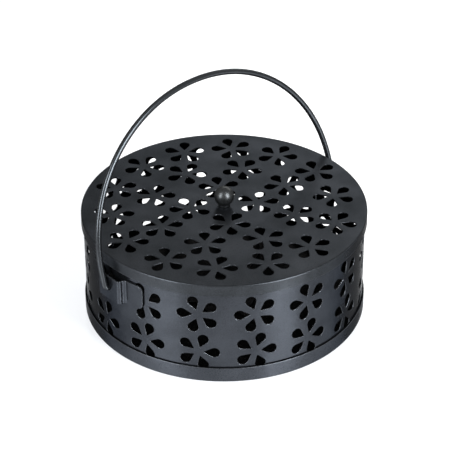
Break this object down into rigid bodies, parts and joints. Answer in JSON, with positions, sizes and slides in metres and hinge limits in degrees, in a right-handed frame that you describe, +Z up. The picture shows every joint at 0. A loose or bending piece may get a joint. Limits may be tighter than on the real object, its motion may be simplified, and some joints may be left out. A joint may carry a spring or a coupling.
{
  "type": "mosquito coil holder",
  "caption": "Round pierced sheet-steel coil holder: a tray with a perforated wall, a lift-off flower-pierced lid with a ball knob, a swinging wire handle and a coil stand inside.",
  "frame": {"origin": "middle of the tray's underside, on the table", "axes": "+Z up, +X along the handle's pivot axis; the handle leans towards +Y at rest"},
  "size_m": [0.17, 0.1566, 0.1304],
  "materials": {
    "satin_paint": "satin bluish-charcoal paint on sheet steel",
    "knob_paint": "semi-gloss charcoal paint",
    "handle_paint": "semi-gloss charcoal paint on steel wire",
    "stand_paint": "matt black paint",
    "screw_steel": "zinc plated"
  },
  "bodies": {
    "box": {"base_tray": "satin_paint", "side_wall": "satin_paint", "handle_bracket_right": "satin_paint", "handle_bracket_left": "satin_paint"},
    "lid": {"lid": "satin_paint", "lid_knob": "knob_paint", "knob_screw": "screw_steel"},
    "handle": {"handle": "handle_paint"},
    "stand": {"coil_stand": "stand_paint"}
  },
  "joints": [
    {"name": "handle_swing", "type": "hinge", "parent": "box", "child": "handle", "pos_m": [0, 0, 0.0447], "axis": [1, 0, 0], "range_deg": [-97.5, 129]},
    {"name": "lid_lift", "type": "slide", "parent": "box", "child": "lid", "axis": [0, 0, 1], "range_m": [0, 0.01]},
    {"name": "stand_lift", "type": "slide", "parent": "box", "child": "stand", "axis": [0, 0, 1], "range_m": [0, 0.03]}
  ]
}
